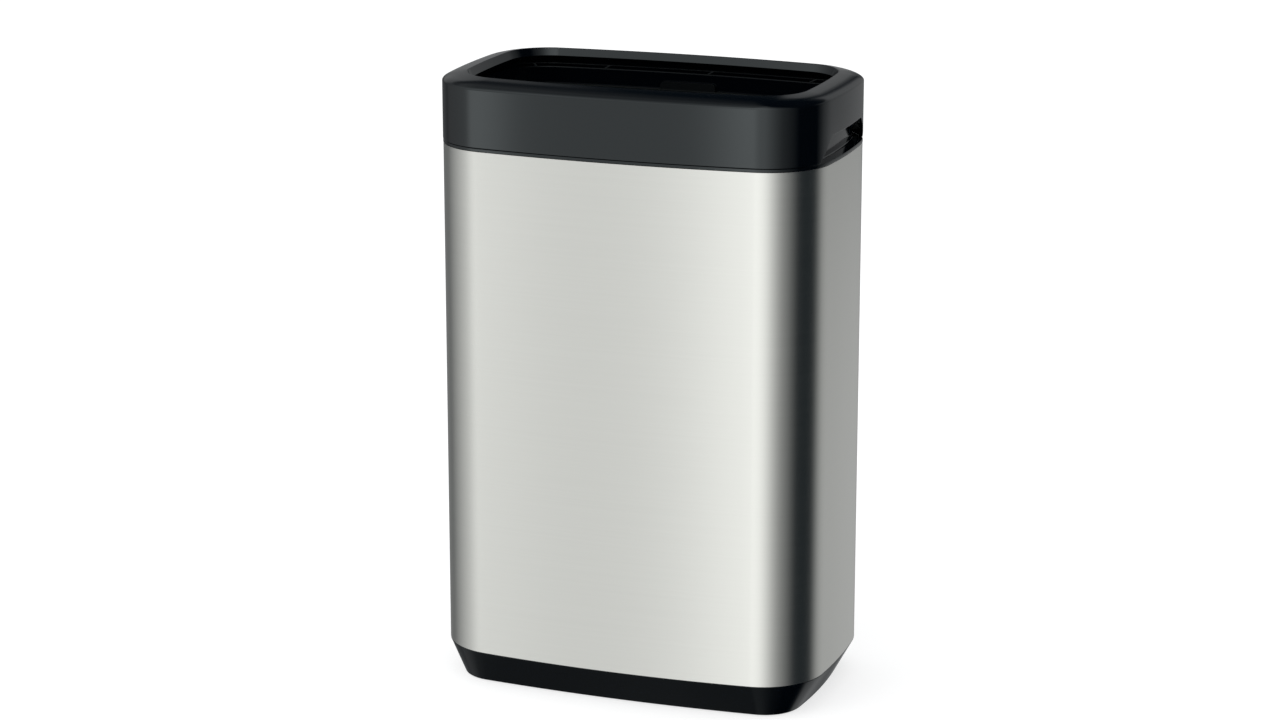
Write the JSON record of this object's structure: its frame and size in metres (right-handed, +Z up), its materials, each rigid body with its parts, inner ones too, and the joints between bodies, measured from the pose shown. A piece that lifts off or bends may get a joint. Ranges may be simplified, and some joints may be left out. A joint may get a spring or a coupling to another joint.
{
  "type": "waste bin",
  "caption": "Free-standing washroom waste bin with a bowed steel sleeve, a tapered base and a lift-off black top frame over a bag ring.",
  "frame": {"origin": "middle of the footprint on the floor, level with the undersides of the rubber feet", "axes": "+Z up, +X along the bin's width to the right as seen from the front, and the front faces -Y"},
  "size_m": [0.3908, 0.2338, 0.6038],
  "materials": {
    "steel_sleeve": "fine horizontal brushed grain, satin",
    "base_plastic": "smooth black moulding, semi-gloss",
    "collar_plastic": "smooth black moulding, semi-gloss",
    "frame_plastic": "smooth black moulding, gloss",
    "ring_plastic": "fine grained black moulding",
    "foot_rubber": "matt black rubber",
    "zinc_fasteners": "bright zinc plate"
  },
  "bodies": {
    "bin_body": {"body_sleeve": "steel_sleeve", "base_tray": "base_plastic", "top_collar": "collar_plastic", "foot_front_left": "foot_rubber", "foot_front_right": "foot_rubber", "foot_back_left": "foot_rubber", "foot_back_right": "foot_rubber", "collar_screw_1": "zinc_fasteners", "collar_screw_2": "zinc_fasteners", "collar_screw_3": "zinc_fasteners", "collar_screw_4": "zinc_fasteners", "base_screw_1": "zinc_fasteners", "base_screw_2": "zinc_fasteners", "base_screw_3": "zinc_fasteners", "base_screw_4": "zinc_fasteners", "clip_nut_1": "zinc_fasteners", "clip_nut_2": "zinc_fasteners", "clip_nut_3": "zinc_fasteners", "clip_nut_4": "zinc_fasteners"},
    "lift_off_frame": {"top_frame": "frame_plastic"},
    "lift_out_ring": {"bag_ring": "ring_plastic"}
  },
  "joints": [
    {"name": "frame_lift", "type": "slide", "parent": "bin_body", "child": "lift_off_frame", "axis": [0, 0, 1], "range_m": [0, 0.12]},
    {"name": "ring_lift", "type": "slide", "parent": "bin_body", "child": "lift_out_ring", "axis": [0, 0, 1], "range_m": [0, 0.06]}
  ],
  "couplings": [
    {"joint": "ring_lift", "follows": "frame_lift", "ratio": 0.5}
  ]
}
